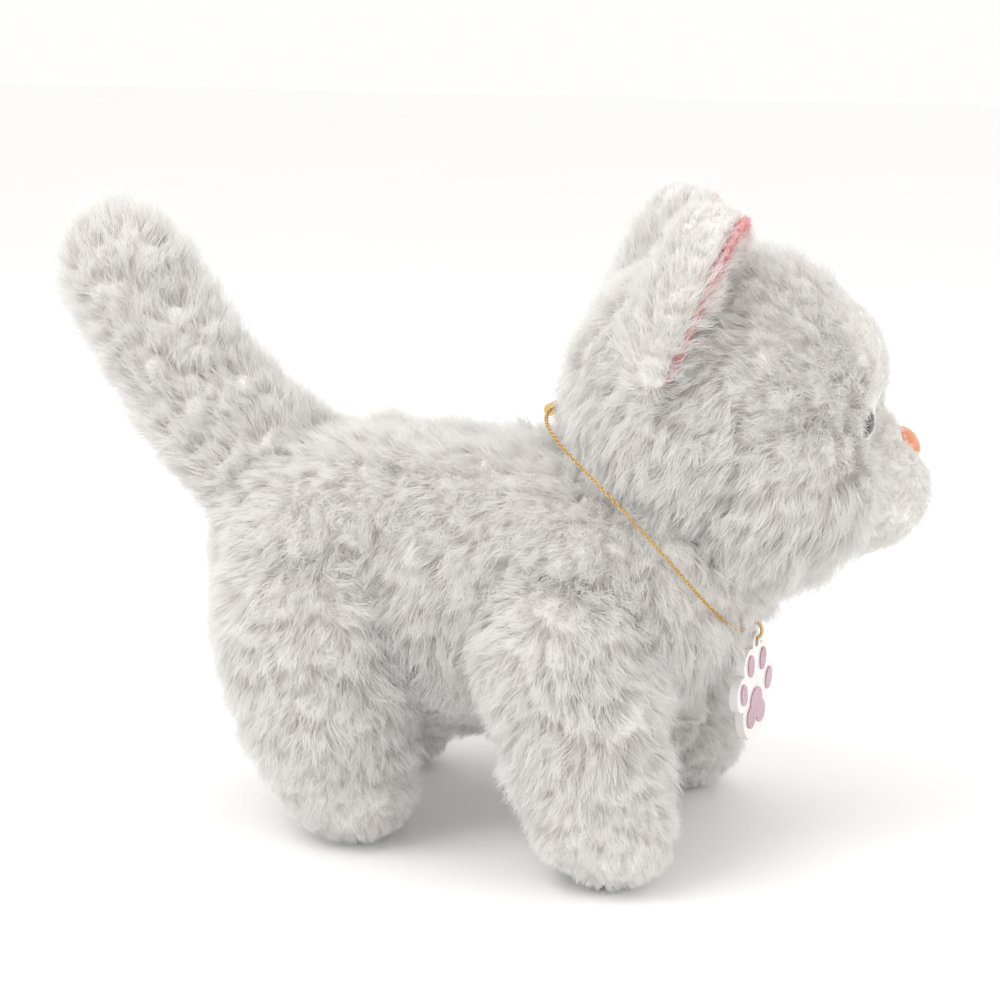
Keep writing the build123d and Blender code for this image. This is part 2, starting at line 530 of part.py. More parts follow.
def head():
    everywhere = (-60, 60)
    skull = Sphere(SKULL_R) - Sphere(SKULL_R - WALL)
    for side in (-1, 1):
        skull += rod_x(side * SKULL_SCREW_Y, 0, 3.0, -25, 25)
    skull -= block(everywhere, everywhere, everywhere) - Sphere(SKULL_R)
    collar = HEAD_FRAME.inverse() * rod_z(NECK_X, 0, 10.0, 91.0, NECK_TOP - 0.2)
    bore = HEAD_FRAME.inverse() * rod_z(NECK_X, 0, NECK_POST_R + RUN, 80.0, NECK_TOP)
    skull += collar
    for side in (-1, 1):
        skull -= rod_x(side * SKULL_SCREW_Y, 0, SCREW_R, -40, 9)
        skull -= rod_x(side * SKULL_SCREW_Y, 0, SCREW_HEAD_R + 0.1, -40, -23)
    skull -= bore
    nodes["skull_back"] = HEAD_FRAME * (skull - block((0, 60), everywhere, everywhere))
    nodes["skull_front"] = HEAD_FRAME * (skull - block((-60, 0), everywhere, everywhere))
    screws = [Pos(-23, side * SKULL_SCREW_Y, 0) * screw(30.0) for side in (-1, 1)]
    nodes["skull_screws"] = HEAD_FRAME * together(screws)

    plush = Sphere(HEAD_R) - Sphere(SKULL_R + 0.2)
    plush -= HEAD_FRAME.inverse() * rod_z(NECK_X, 0, 12.0, 70.0, 104.0)
    muzzle = Pos(*MUZZLE_AT) * Rot(0, 0, 90) * Sphere(MUZZLE_R) - Rot(0, 0, 180) * Sphere(HEAD_R)
    washers = []
    for side, name in ((-1, "right_eye"), (1, "left_eye")):
        at = Vector(EYE_AT[0], side * EYE_AT[1], EYE_AT[2])
        out = Vector(EYE_OUT[0], side * EYE_OUT[1], EYE_OUT[2]).normalized()
        eye, washer, room = stud(at, out, EYE_DOME, EYE_R, EYE_STEM)
        nodes[name] = HEAD_FRAME * eye
        washers.append(washer)
        socket = at + out * SOCKET_OUT
        plush -= ball(*socket, SOCKET_R)
        plush -= room
    outward = Vector(*NOSE_AT) - Vector(*MUZZLE_AT)
    seat = MUZZLE_R - 0.8
    base = Vector(*MUZZLE_AT) + outward.normalized() * seat
    nose, washer, room = stud(base, outward, NOSE_DOME, NOSE_R, NOSE_STEM)
    plush -= aimed(base, outward) * rod_x(0, 0, WASHER_R + 0.5, -8, -3)
    muzzle -= room
    muzzle -= aimed(base, outward) * block((0, 5), (-9, 9), (-9, 9))
    washers.append(washer)
    nodes["nose"] = HEAD_FRAME * nose
    nodes["face_washers"] = HEAD_FRAME * together(washers)
    nodes["muzzle_plush"] = HEAD_FRAME * muzzle
    nodes["head_plush"] = HEAD_FRAME * plush
    for side, name in ((-1, "right_ear"), (1, "left_ear")):
        back, lining = ear(side)
        nodes[name + "_back"] = HEAD_FRAME * back
        nodes[name + "_lining"] = HEAD_FRAME * lining


# ---------------------------------------------------------------- tail
def tail_limb(index, extra=0.0):
    (x0, z0, r0), (x1, z1, r1) = TAIL_PATH[index:index + 2]
    return limb((x0, 0, z0), r0 + extra, (x1, 0, z1), r1 + extra)


def tail():
    axis_x = TAIL_AXIS[0]
    bracket = block((CASE_X[0] - FLANGE, CASE_X[0]), (-8, 8), (70, 98))
    bracket += block((axis_x, CASE_X[0]), (-5, 5), TAIL_SHELF_Z) + rod_z(axis_x, 0, 5.0, *TAIL_SHELF_Z)
    bracket -= rod_z(axis_x, 0, TAIL_PIN_R, 80, 90)
    for z in TAIL_SCREW_Z:
        bracket -= rod_x(0, z, SCREW_R, CASE_X[0] - 4, CASE_X[0] + 1)
    nodes["tail_bracket"] = bracket
    nodes["tail_pin"] = rod_z(axis_x, 0, TAIL_PIN_R, TAIL_SHELF_Z[0], TAIL_PIN_TOP)
    nodes["tail_pin"] += rod_z(axis_x, 0, 4.0, TAIL_PIN_TOP, 100)
    stem = limb((axis_x - 6.6, 0, 96.0), 3.0, (-84.0, 0, 121.0), 3.0)
    hub = rod_z(axis_x, 0, TAIL_HUB_R, TAIL_SHELF_Z[1] + 0.2, TAIL_PIN_TOP - 0.2)
    nodes["tail_stem"] = hub + stem - rod_z(axis_x, 0, TAIL_PIN_R + RUN, 80, TAIL_PIN_TOP - 0.1)
    plush = tail_limb(0) + tail_limb(1) - stem
    plush -= rod_z(axis_x, 0, 8.0, 80, 101.5)
    plush -= block((axis_x, axis_x + 30), (-17.4, 17.4), (68, 101.5))
    nodes["tail_plush"] = plush


# ---------------------------------------------------------------- necklace and paw tag
def necklace():
    (x0, z0), (x1, z1) = CHAIN_BACK, CHAIN_FRONT
    forward = Vector(x1 - x0, 0, z1 - z0)
    plane = Plane(origin=((x0 + x1) / 2, 0, (z0 + z1) / 2), x_dir=forward, z_dir=forward.cross(Vector(0, 1, 0)))
    chain = plane.location * Torus(forward.length / 2, CHAIN_R)
    clasp = rod_y(x0, z0, 1.7, -3.0, 3.0)
    nodes["necklace_chain"] = chain - clasp
    nodes["necklace_clasp"] = clasp


def tag():
    place = Pos(CHAIN_FRONT[0], 0, CHAIN_FRONT[1]) * Rot(0, 0, TAG_YAW)
    ring_z = -(RING_R - RING_WIRE - CHAIN_R - RING_SLACK)
    nodes["jump_ring"] = place * Pos(0, 0, ring_z) * Rot(90, 0, 0) * Torus(RING_R, RING_WIRE)
    hole_r = 1.5
    hole_z = ring_z - RING_R - (hole_r - RING_WIRE - 0.35)
    outline = Pos(0, -5.5) * Circle(9.5) + Pos(0, TAG_HOLE) * Circle(2.8)
    outline += Pos(0, TAG_HOLE / 2 + 1) * Rectangle(5.6, TAG_HOLE - 2)
    for toe in TOES:
        outline += Pos(*toe) * Circle(4.9)
    outline += Rectangle(14, 10)
    outline -= Pos(0, TAG_HOLE) * Circle(hole_r)
    facing_front = Plane(origin=(0, 0, 0), x_dir=(0, 1, 0), z_dir=(1, 0, 0)).location
    upright = place * Pos(0, 0, hole_z - TAG_HOLE) * facing_front
    plate = upright * Pos(0, 0, -TAG_THICK / 2) * extrude(outline, TAG_THICK)
    pads = [Pos(*toe) * Rot(0, 0, -1.8 * toe[0]) * Ellipse(2.2, 3.2) for toe in TOES]
    pads.append(Pos(0, -4.2) * Circle(4.4) + Pos(-3.6, -7.6) * Circle(3.2) + Pos(3.6, -7.6) * Circle(3.2))
    raised = [upright * Pos(0, 0, TAG_THICK / 2 - 0.4) * extrude(pad, 0.8) for pad in pads]
    for pad in raised:
        plate -= pad
    nodes["tag_plate"] = plate
    nodes["tag_pads"] = together(raised)


for make in (housing, fasteners, battery_box, switch, touch_sensor, electronics, gear_train, legs, torso,
             neck, head, tail, necklace, tag):
    make()

os.makedirs("parts", exist_ok=True)
for name, shape in nodes.items():
    export_step(shape, f"parts/{name}.step")
print(len(nodes), "nodes")
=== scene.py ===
"""Looks of the interactive plush kitten: padded pelts with combed pile, velour-lined ears, glass eyes,
a flocked nose, a fine chain with an enamel paw tag, and the plastic and metal works inside."""
import json
import math

import bmesh
import bpy
import numpy as np
from mathutils import Matrix, Vector, kdtree


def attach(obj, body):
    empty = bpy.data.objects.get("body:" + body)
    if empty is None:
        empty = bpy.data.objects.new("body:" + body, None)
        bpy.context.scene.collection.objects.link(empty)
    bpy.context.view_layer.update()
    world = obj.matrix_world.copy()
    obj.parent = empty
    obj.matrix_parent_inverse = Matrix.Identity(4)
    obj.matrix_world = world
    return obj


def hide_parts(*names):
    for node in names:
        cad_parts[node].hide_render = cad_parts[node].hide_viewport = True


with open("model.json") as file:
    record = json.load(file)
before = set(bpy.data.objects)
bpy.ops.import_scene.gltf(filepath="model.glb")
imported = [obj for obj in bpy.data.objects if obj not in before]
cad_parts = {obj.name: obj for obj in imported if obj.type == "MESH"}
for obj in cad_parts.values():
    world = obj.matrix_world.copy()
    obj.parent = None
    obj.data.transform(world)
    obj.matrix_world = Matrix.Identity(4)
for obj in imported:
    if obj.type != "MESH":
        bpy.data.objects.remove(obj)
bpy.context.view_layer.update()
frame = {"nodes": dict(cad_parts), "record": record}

MM = 0.001                      # every length below is in millimetres
RECORD = frame["record"]
HEAD_YAW = Matrix.Rotation(math.radians(22), 4, "Z")
HEAD = Matrix.Translation((60, 0, 124)) @ HEAD_YAW @ Matrix.Translation((13.5, 0, 0))
EYE_AT, EYE_OUT = (34.0, 17.5, -2.0), (0.94, 0.33, 0.03)   # the left eye, in the head's own coordinates
STRANDS_PER_MM2 = 3.4
VOXEL = 1.25
STRAND_STEPS = 5
STRAND_TAPER = (1.0, 1.0, 0.95, 0.8, 0.55, 0.15)   # thickness at each point of a strand


# ---------------------------------------------------------------- camera, light, floor
def aim(obj, at, target):
    obj.location = Vector(at) * MM
    obj.rotation_euler = (Vector(target) - Vector(at)).to_track_quat("-Z", "Y").to_euler()
    bpy.context.scene.collection.objects.link(obj)


def camera():
    data = bpy.data.cameras.new("camera")
    data.sensor_width = 36
    data.lens = 89.28
    data.clip_start, data.clip_end = 0.05, 20
    obj = bpy.data.objects.new("camera", data)
    aim(obj, (231.1, -644.9, 250.5), (9, 0, 93))
    bpy.context.scene.camera = obj


def softbox(name, at, target, size, power, colour):
    data = bpy.data.lights.new(name, "AREA")
    data.shape = "RECTANGLE"
    data.size, data.size_y = size[0] * MM, size[1] * MM
    data.energy = power
    data.color = colour
    aim(bpy.data.objects.new(name, data), at, target)


def studio():
    world = bpy.data.worlds.new("studio")
    world.use_nodes = True
    sky = world.node_tree.nodes["Background"]
    sky.inputs["Color"].default_value = (1.0, 0.995, 0.985, 1)
    sky.inputs["Strength"].default_value = 1.0
    bpy.context.scene.world = world
    bpy.context.scene.view_settings.view_transform = "Standard"
    softbox("key", (-260, -420, 720), (0, 0, 70), (420, 340), 2.3, (1.0, 0.985, 0.96))
    softbox("top", (60, 120, 800), (0, 0, 90), (700, 600), 0.8, (1.0, 0.99, 0.975))
    softbox("side", (760, -200, 260), (40, 0, 90), (420, 420), 0.35, (1.0, 0.97, 0.94))
    floor = mesh_object("floor", *grid(lambda u, v: (6000 * (u - 0.5), 6000 * (v - 0.5), 0), 2, 2))
    paper = finish("floor_paper", (0.975, 0.975, 0.975), 0.9, grain=(60, 0.004), bump=0.01,
                   Specular_IOR_Level=0.1)
    floor.data.materials.append(paper)


# ---------------------------------------------------------------- materials
def nodes_of(name):
    material = bpy.data.materials.new(name)
    material.use_nodes = True
    tree = material.node_tree
    return material, tree, tree.nodes["Principled BSDF"]


def add(tree, kind, **sockets):
    node = tree.nodes.new(kind)
    for key, value in sockets.items():
        node.inputs[key.replace("_", " ")].default_value = value
    return node


def coordinates(tree, stretch=(1, 1, 1)):
    """Object coordinates, stretched for grain that runs one way."""
    place = tree.nodes.new("ShaderNodeTexCoord")
    scale = add(tree, "ShaderNodeMapping", Scale=stretch)
    tree.links.new(place.outputs["Object"], scale.inputs["Vector"])
    return scale.outputs["Vector"]


def noise(tree, scale, detail, stretch=(1, 1, 1)):
    node = add(tree, "ShaderNodeTexNoise", Scale=scale, Detail=detail)
    tree.links.new(coordinates(tree, stretch), node.inputs["Vector"])
    return node.outputs["Fac"]


def ramp(tree, source, stops):
    """Colour ramp with (place, colour) stops."""
    node = tree.nodes.new("ShaderNodeValToRGB")
    while len(node.color_ramp.elements) < len(stops):
        node.color_ramp.elements.new(0.5)
    for element, (place, colour) in zip(node.color_ramp.elements, stops):
        element.position = place
        element.color = (*colour, 1)
    tree.links.new(source, node.inputs["Fac"])
    return node.outputs["Color"]


def shade(colour, factor):
    return tuple(min(1.0, c * factor) for c in colour)


def finish(name, colour, rough, grain=(900, 0.08), bump=0.1, depth=0.0002, stretch=(1, 1, 1), **settings):
    """Surface with a mottled colour, a roughness that varies and a fine grain in relief."""
    material, tree, shader = nodes_of(name)
    scale, vary = grain
    mottle = noise(tree, scale * 0.12, 4, stretch)
    colours = ramp(tree, mottle, [(0.3, shade(colour, 1 - vary)), (0.7, shade(colour, 1 + vary))])
    tree.links.new(colours, shader.inputs["Base Color"])
    fine = noise(tree, scale, 3, stretch)
    spread = add(tree, "ShaderNodeMapRange", To_Min=max(0.02, rough - 0.07), To_Max=min(1.0, rough + 0.07))
    tree.links.new(fine, spread.inputs["Value"])
    tree.links.new(spread.outputs["Result"], shader.inputs["Roughness"])
    relief = add(tree, "ShaderNodeBump", Strength=bump, Distance=depth)
    tree.links.new(fine, relief.inputs["Height"])
    tree.links.new(relief.outputs["Normal"], shader.inputs["Normal"])
    for key, value in settings.items():
        shader.inputs[key.replace("_", " ")].default_value = value
    return material


def pelt_cloth(name, low, high, sheen=0.25):
    """Backing and root pile of a fur: painted shade, warm and darker, in the hollows between tufts, and the
    cloth's own colour on their crowns.
    """
    material, tree, shader = nodes_of(name)
    height = tree.nodes.new("ShaderNodeAttribute")
    height.attribute_name = "tuft"
    # the low colour is painted shade in the hollows between tufts; the high colour is the cloth's own on
    # their crowns
    colours = ramp(tree, height.outputs["Fac"], [(0.0, low), (0.75, high)])
    blotch = ramp(tree, noise(tree, 55, 3), [(0.3, (0.94, 0.94, 0.94)), (0.7, (1, 1, 1))])
    mix = tree.nodes.new("ShaderNodeMix")
    mix.data_type, mix.blend_type = "RGBA", "MULTIPLY"
    mix.inputs["Factor"].default_value = 1.0
    tree.links.new(colours, mix.inputs[6])
    tree.links.new(blotch, mix.inputs[7])
    tree.links.new(mix.outputs[2], shader.inputs["Base Color"])
    strands = noise(tree, 1500, 4, (1, 1, 0.25))
    relief = add(tree, "ShaderNodeBump", Strength=0.6, Distance=0.0006)
    tree.links.new(strands, relief.inputs["Height"])
    tree.links.new(relief.outputs["Normal"], shader.inputs["Normal"])
    shader.inputs["Roughness"].default_value = 0.95
    shader.inputs["Specular IOR Level"].default_value = 0.15
    shader.inputs["Sheen Weight"].default_value = sheen
    shader.inputs["Sheen Roughness"].default_value = 0.6
    return material


def pile(name, root, tip, through=0.35):
    """Strands: a little darker at the root as painted shade deep in the pile, some lighter than others, with
    light passing through.
    """
    material, tree, shader = nodes_of(name)
    strand = tree.nodes.new("ShaderNodeHairInfo")
    # the darker root colour is painted shade deep in the pile, rising to the strand's own colour at the tip
    colours = ramp(tree, strand.outputs["Intercept"], [(0.0, root), (0.7, tip)])
    some = ramp(tree, strand.outputs["Random"], [(0.0, (0.93, 0.925, 0.92)), (1.0, (1, 1, 1))])
    mix = tree.nodes.new("ShaderNodeMix")
    mix.data_type, mix.blend_type = "RGBA", "MULTIPLY"
    mix.inputs["Factor"].default_value = 1.0
    tree.links.new(colours, mix.inputs[6])
    tree.links.new(some, mix.inputs[7])
    tree.links.new(mix.outputs[2], shader.inputs["Base Color"])
    shader.inputs["Roughness"].default_value = 0.55
    shader.inputs["Specular IOR Level"].default_value = 0.25
    glow = tree.nodes.new("ShaderNodeBsdfTranslucent")
    tree.links.new(mix.outputs[2], glow.inputs["Color"])
    blend = tree.nodes.new("ShaderNodeMixShader")
    blend.inputs["Fac"].default_value = through
    out = tree.nodes["Material Output"]
    tree.links.new(shader.outputs["BSDF"], blend.inputs[1])
    tree.links.new(glow.outputs["BSDF"], blend.inputs[2])
    tree.links.new(blend.outputs["Shader"], out.inputs["Surface"])
    return material


# ---------------------------------------------------------------- mesh helpers
def mesh_object(name, verts, faces):
    mesh = bpy.data.meshes.new(name)
    mesh.from_pydata([tuple(c * MM for c in v) for v in verts], [], faces)
    mesh.shade_smooth()
    obj = bpy.data.objects.new(name, mesh)
    bpy.context.scene.collection.objects.link(obj)
    return obj


def grid(surface, columns, rows, closed=False):
    """Vertices and faces of a surface of (u, v), both 0 to 1; closed joins its last column to its first."""
    across = columns if closed else columns - 1
    verts = [surface(c / across, r / (rows - 1)) for r in range(rows) for c in range(columns)]
    faces = []
    for r in range(rows - 1):
        for c in range(across):
            d = (c + 1) % columns
            faces.append((r * columns + c, r * columns + d, (r + 1) * columns + d, (r + 1) * columns + c))
    return verts, faces


def run(p, q, steps=9):
    """Balls (x, y, z, radius) from one to another."""
    p, q = np.array(p, float), np.array(q, float)
    return [tuple(p + (q - p) * i / (steps - 1)) for i in range(steps)]


def form(name, balls, place=Matrix.Identity(4), soften=10):
    """One closed padded form over a set of balls (x, y, z, radius), with the joins between them softened."""
    bm = bmesh.new()
    for x, y, z, r in balls:
        at = Matrix.Translation((x, y, z))
        bmesh.ops.create_icosphere(bm, subdivisions=4, radius=r, matrix=at)
    bmesh.ops.transform(bm, matrix=Matrix.Scale(MM, 4) @ place, verts=bm.verts)
    mesh = bpy.data.meshes.new(name)
    bm.to_mesh(mesh)
    bm.free()
    obj = bpy.data.objects.new(name, mesh)
    bpy.context.scene.collection.objects.link(obj)
    remesh = obj.modifiers.new("remesh", "REMESH")
    remesh.mode, remesh.voxel_size = "VOXEL", VOXEL * MM
    smooth = obj.modifiers.new("smooth", "SMOOTH")
    smooth.factor, smooth.iterations = 0.5, soften
    bake(obj)
    return obj


def bake(obj):
    """The object's mesh becomes what its modifiers make of it."""
    graph = bpy.context.evaluated_depsgraph_get()
    graph.update()
    mesh = bpy.data.meshes.new_from_object(obj.evaluated_get(graph), depsgraph=graph)
    obj.modifiers.clear()
    obj.data = mesh
    mesh.shade_smooth()


def carve(obj, box):
    """Cuts a box-shaped room out of a form."""
    bm = bmesh.new()
    size = [b - a for a, b in zip(*box)]
    middle = [(a + b) / 2 for a, b in zip(*box)]
    bmesh.ops.create_cube(bm, size=1, matrix=Matrix.Translation(middle) @ Matrix.Diagonal((*size, 1)))
    bmesh.ops.scale(bm, vec=(MM, MM, MM), verts=bm.verts)
    mesh = bpy.data.meshes.new("cutter")
    bm.to_mesh(mesh)
    bm.free()
    cutter = bpy.data.objects.new("cutter", mesh)
    bpy.context.scene.collection.objects.link(cutter)
    cut = obj.modifiers.new("cut", "BOOLEAN")
    cut.operation, cut.solver, cut.object = "DIFFERENCE", "MANIFOLD", cutter
    bake(obj)
    bpy.data.objects.remove(cutter)


def arrays(mesh):
    """Vertices and normals of a mesh in millimetres, and its triangles."""
    co = np.empty(len(mesh.vertices) * 3, np.float32)
    mesh.vertices.foreach_get("co", co)
    normals = np.empty(len(mesh.vertices) * 3, np.float32)
    mesh.vertex_normals.foreach_get("vector", normals)
    mesh.calc_loop_triangles()
    triangles = np.empty(len(mesh.loop_triangles) * 3, np.int32)
    mesh.loop_triangles.foreach_get("vertices", triangles)
    places = co.reshape(-1, 3).astype(float) / MM
    return places, normals.reshape(-1, 3).astype(float), triangles.reshape(-1, 3)


def unit(v):
    return v / np.maximum(np.linalg.norm(v, axis=-1, keepdims=True), 1e-9)


def scatter(mesh, per_mm2, seed):
    """Points spread evenly over a mesh, with their normals."""
    co, normals, triangles = arrays(mesh)
    a, b, c = (co[triangles[:, i]] for i in range(3))
    areas = np.linalg.norm(np.cross(b - a, c - a), axis=1) / 2
    dice = np.random.default_rng(seed)
    count = int(areas.sum() * per_mm2)
    pick = dice.choice(len(areas), count, p=areas / areas.sum())
    u, v = dice.random((2, count))
    flip = u + v > 1
    u[flip], v[flip] = 1 - u[flip], 1 - v[flip]
    weights = np.stack([1 - u - v, u, v], 1)[:, :, None]
    corners = triangles[pick]
    return (co[corners] * weights).sum(1), unit((normals[corners] * weights).sum(1))


def nearest(points, centres, count):
    """Indices of the centres nearest to each point."""
    tree = kdtree.KDTree(len(centres))
    for i, c in enumerate(centres):
        tree.insert(c, i)
    tree.balance()
    return np.array([[found[1] for found in tree.find_n(p, count)] for p in points])


def along(flow, points, normals):
    """The combing direction at each point, laid in the surface."""
    f = flow(points)
    return unit(f - (f * normals).sum(1)[:, None] * normals)


# ---------------------------------------------------------------- pile
class Coat:
    """The pile of one pelt: where its tufts stand, which way they lie, how long they are."""

    def __init__(self, obj, flow, length, seed, tuft=5.0, lift=1.0, swirl=0.35):
        self.obj, self.flow, self.length, self.seed = obj, flow, length, seed
        self.lift = lift
        dice = np.random.default_rng(seed + 1)
        self.at, self.normal = scatter(obj.data, 1 / tuft ** 2, seed)
        way = along(flow, self.at, self.normal)
        turn = dice.normal(0, swirl, len(self.at))[:, None]
        self.way = way * np.cos(turn) + np.cross(self.normal, way) * np.sin(turn)
        self.size = dice.uniform(0.86, 1.14, len(self.at))
        self.rise = dice.uniform(0.75, 1.3, len(self.at))
        self.tuft = tuft

    def sculpt(self, height):
        """Raises each tuft as a shingle that is highest near its tip, and keeps the height for the cloth's
        colour, which paints shade into the hollows.
        """
        mesh = self.obj.data
        co, normals, _ = arrays(mesh)
        ids = nearest(co, self.at, 4)
        best = np.zeros(len(co))
        for k in range(ids.shape[1]):
            i = ids[:, k]
            d = co - self.at[i]
            reach = (d * self.way[i]).sum(1) / (self.tuft * 1.1)
            side = np.cross(self.normal[i], self.way[i])
            off = (d * side).sum(1) / (self.tuft * 0.75 * self.size[i])
            ridge = np.clip(1 - off ** 2 * (0.55 + 0.45 * reach), 0, 1)
            climb = np.clip((reach + 1) / 1.7, 0, 1) * np.clip((1.15 - reach) / 0.35, 0, 1)
            best = np.maximum(best, ridge * climb * self.rise[i] / 1.3)
        pile_height = np.minimum(self.length(co) / 8.0, 1.0)
        co += normals * (best * height * pile_height)[:, None]
        mesh.vertices.foreach_set("co", (co * MM).astype(np.float32).ravel())
        layer = mesh.attributes.new("tuft", "FLOAT", "POINT")
        layer.data.foreach_set("value", best.astype(np.float32))
        mesh.update()

    def strands(self, name, body, material, thick=0.06):
        """Strands that leave the cloth steeply, lie down along the flow and gather into tufts."""
        dice = np.random.default_rng(self.seed + 2)
        root, normal = scatter(self.obj.data, STRANDS_PER_MM2, self.seed + 3)
        keep = self.length(root) > 0.3
        root, normal = root[keep], normal[keep]
        big = nearest(root, self.at, 1)[:, 0]
        locks, _ = scatter(self.obj.data, 0.16, self.seed + 4)
        small = nearest(root, locks, 1)[:, 0]
        lock_turn = np.random.default_rng(self.seed + 5).normal(0, 0.3, len(locks))
        way = self.way[big]
        way = unit(way - (way * normal).sum(1)[:, None] * normal)
        turn = (lock_turn[small] + dice.normal(0, 0.22, len(root)))[:, None]
        way = way * np.cos(turn) + np.cross(normal, way) * np.sin(turn)
        length = self.length(root) * self.size[big] * dice.uniform(0.7, 1.15, len(root))
        first = np.radians(70) * self.lift * self.rise[big] * dice.uniform(0.8, 1.2, len(root))
        last = np.radians(22) * self.lift * self.rise[big] * dice.uniform(0.2, 1.8, len(root))
        points = [root - normal * 0.3]
        for s in range(STRAND_STEPS):
            share = (s + 0.5) / STRAND_STEPS
            angle = (first * (1 - share) + last * share)[:, None]
            heading = way * np.cos(angle) + normal * np.sin(angle)
            points.append(points[-1] + heading * (length / STRAND_STEPS)[:, None])
        path = np.stack(points, 1)
        share = np.linspace(0, 1, STRAND_STEPS + 1)[None, :, None]
        path -= (root - self.at[big])[:, None, :] * share ** 1.6 * 0.24
        path -= (root - locks[small])[:, None, :] * share ** 1.3 * 0.42
        path += dice.normal(0, 0.16, path.shape) * share
        hair = bpy.data.hair_curves.new(name)
        hair.add_curves([STRAND_STEPS + 1] * len(path))
        hair.position_data.foreach_set("vector", (path * MM).astype(np.float32).ravel())
        taper = np.array(STRAND_TAPER)
        radius = (taper[None, :] * thick * dice.uniform(0.7, 1.2, (len(path), 1)) * MM).astype(np.float32)
        if "radius" not in hair.attributes:
            hair.attributes.new("radius", "FLOAT", "POINT")
        hair.attributes["radius"].data.foreach_set("value", radius.ravel())
        hair.materials.append(material)
        obj = bpy.data.objects.new(name, hair)
        bpy.context.scene.collection.objects.link(obj)
        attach(obj, body)


# ---------------------------------------------------------------- how the pile lies
def toward(x, y, z):
    return lambda p: np.tile(unit(np.array([x, y, z], float)), (len(p), 1))


def inside(p, box, slack=0.6):
    return np.all((p > np.array(box[0]) - slack) & (p < np.array(box[1]) + slack), axis=1)


CHAIN_BACK, CHAIN_FRONT = np.array([24.6, 0, 120.4]), np.array([82.8, 0, 63.2])
CHAIN_MIDDLE = (CHAIN_BACK + CHAIN_FRONT) / 2
CHAIN_NORMAL = unit(np.cross([0, 1, 0], CHAIN_BACK - CHAIN_FRONT))
CHAIN_R = np.linalg.norm(CHAIN_FRONT - CHAIN_BACK) / 2
CHAIN_BOW = 10.0                # how far the chain rides up under the cheeks


def chain_gap(p):
    """How much of its length the pile keeps beside the necklace, which parts it."""
    side = (p - CHAIN_MIDDLE)[:, 1] / CHAIN_R
    spread = np.abs((p - CHAIN_MIDDLE) @ CHAIN_NORMAL - CHAIN_BOW * side ** 2)
    return 0.62 + 0.38 * np.clip((spread - 1.0) / 2.5, 0, 1)


def torso_flow(p):
    """Back along the spine, turning down the flanks and forward under the throat."""
    flank = np.clip(np.abs(p[:, 1]) / 34, 0, 1)
    chest = np.clip((p[:, 0] - 45) / 30, 0, 1)
    x = -0.9 + 0.5 * flank + 0.8 * chest
    y = 0.25 * np.sign(p[:, 1]) * flank
    z = -0.35 - 0.8 * flank - chest
    return unit(np.stack([x, y, z], 1))


ROOM = ((-43.5, -24.8, 39), (53, 24.8, 100.8))          # inside the torso, round the housing
OPENING = ((-20, -12, 15), (50.2, 12, 45))      # in its belly, under the flap


def torso_length(p):
    low = np.clip((p[:, 2] - 30) / 20, 0.45, 1)
    return 8.0 * low * chain_gap(p) * ~(inside(p, ROOM) | inside(p, OPENING))


def leg_flow(foot_x):
    def flow(p):
        away = np.stack([(p[:, 0] - foot_x) * 0.012, np.zeros(len(p)), -np.ones(len(p))], 1)
        return unit(away)
    return flow


BETWEEN_LEGS = ((-90, -31, 24), (110, 31, 140))  # the torso and its works, which the legs stand beside


def leg_length(p):
    foot = np.clip((p[:, 2] - 2) / 30, 0, 1)
    return (2.6 + 5.6 * foot) * (p[:, 2] > 1.2) * ~inside(p, BETWEEN_LEGS)


TAIL_NOTCH = ((-60, -17.4, 66), (-30, 17.4, 102))   # keeps the tail's root clear of the housing
TAIL_PATH = [(-58, 0, 95), (-84, 0, 119), (-107, 0, 154)]


def tail_flow(p):
    bend = np.clip((-p[:, 0] - 58) / 50, 0, 1)[:, None]
    return unit(np.array([-0.75, 0, 0.55]) * (1 - bend) + np.array([-0.2, 0, 1.0]) * bend)


def in_head(p):
    back = np.array(HEAD.inverted())
    return p @ back[:3, :3].T + back[:3, 3]


def out_of_head(v):
    return v @ np.array(HEAD)[:3, :3].T


def head_flow(p):
    """Away from the nose over the brow and cheeks, then down at the back and the jaw."""
    q = in_head(p)
    away = unit(q - np.array([52.0, 0, -8]))
    cheek = np.clip((q[:, 0] + 10) / 40, 0, 1)[:, None]
    down = np.array([-0.3, 0, -1.0]) * np.clip((14 - q[:, 2]) / 40, 0, 1)[:, None] * 1.2
    side = np.stack([np.zeros(len(q)), np.sign(q[:, 1]) * 0.25, np.zeros(len(q))], 1)
    return unit(out_of_head(away * (0.5 + cheek) + down + side))


def head_length(p):
    """Short on the face, longest on the cheeks and the nape."""
    q = in_head(p)
    wide = np.abs(q[:, 1])
    face = np.clip((36 + 0.12 * (wide - 22) - q[:, 0]) / 9, 0, 1) + 0.7 * np.clip((wide - 21) / 5, 0, 1)
    face = np.clip(face, 0, 1)
    brow = np.clip((q[:, 2] - 12) / 18, 0, 1)
    eyes = np.linalg.norm(np.stack([q[:, 0], wide, q[:, 2]], 1) - EYE_AT, axis=1)
    open_eye = np.clip((eyes - 7.2) / 3.0, 0, 1)
    return (2.2 + 6.3 * face * (1 - 0.35 * brow)) * open_eye


NOSE = np.array([51.6, 0, -11.0])


def muzzle_length(p):
    q = in_head(p)
    nose = np.linalg.norm(q - NOSE, axis=1)
    mouth = np.abs(q[:, 2] + 29.5 - 3.0 * np.cos(q[:, 1] * 0.32))
    return 3.2 * np.clip((nose - 4.6) / 2.5, 0, 1) * np.clip(mouth / 1.6, 0.35, 1)


def muzzle_flow(p):
    q = in_head(p)
    away = unit(q - np.array([60.0, 0, -6]))
    away[:, 2] -= 0.5
    return unit(out_of_head(away))


# ---------------------------------------------------------------- pelts
# the first white is painted shade for the hollows between tufts; the second is the fur's own white on their
# crowns
WHITE_HOLLOW_SHADE, WHITE_HIGH = (0.76, 0.725, 0.69), (0.94, 0.93, 0.915)


